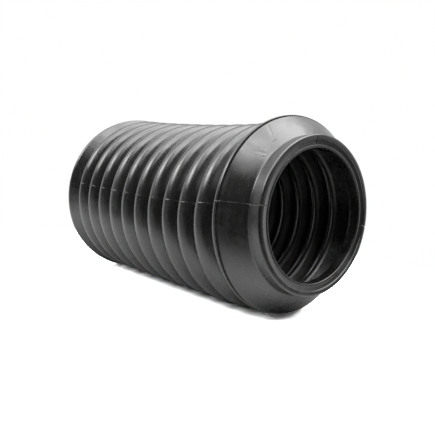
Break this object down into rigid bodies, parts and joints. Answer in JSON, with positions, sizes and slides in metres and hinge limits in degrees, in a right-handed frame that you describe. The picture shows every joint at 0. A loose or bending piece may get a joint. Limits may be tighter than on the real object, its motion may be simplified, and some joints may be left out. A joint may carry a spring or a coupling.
{
  "type": "rubber bellows boot",
  "caption": "Black rubber bellows boot: a folded flexible sleeve with a tapered shoulder and a stepped clamp collar at each end.",
  "frame": {"origin": "centre of the lower collar's end face, which the boot stands on", "axes": "+Z along the boot's own axis, from the lower collar to the upper one; the two mould parting lines lie on the -Y and +Y sides"},
  "size_m": [0.0775, 0.0776, 0.1347],
  "materials": {
    "rubber": "semi-matte moulded black rubber"
  },
  "bodies": {
    "root": {"bellows_boot": "rubber"}
  },
  "joints": []
}
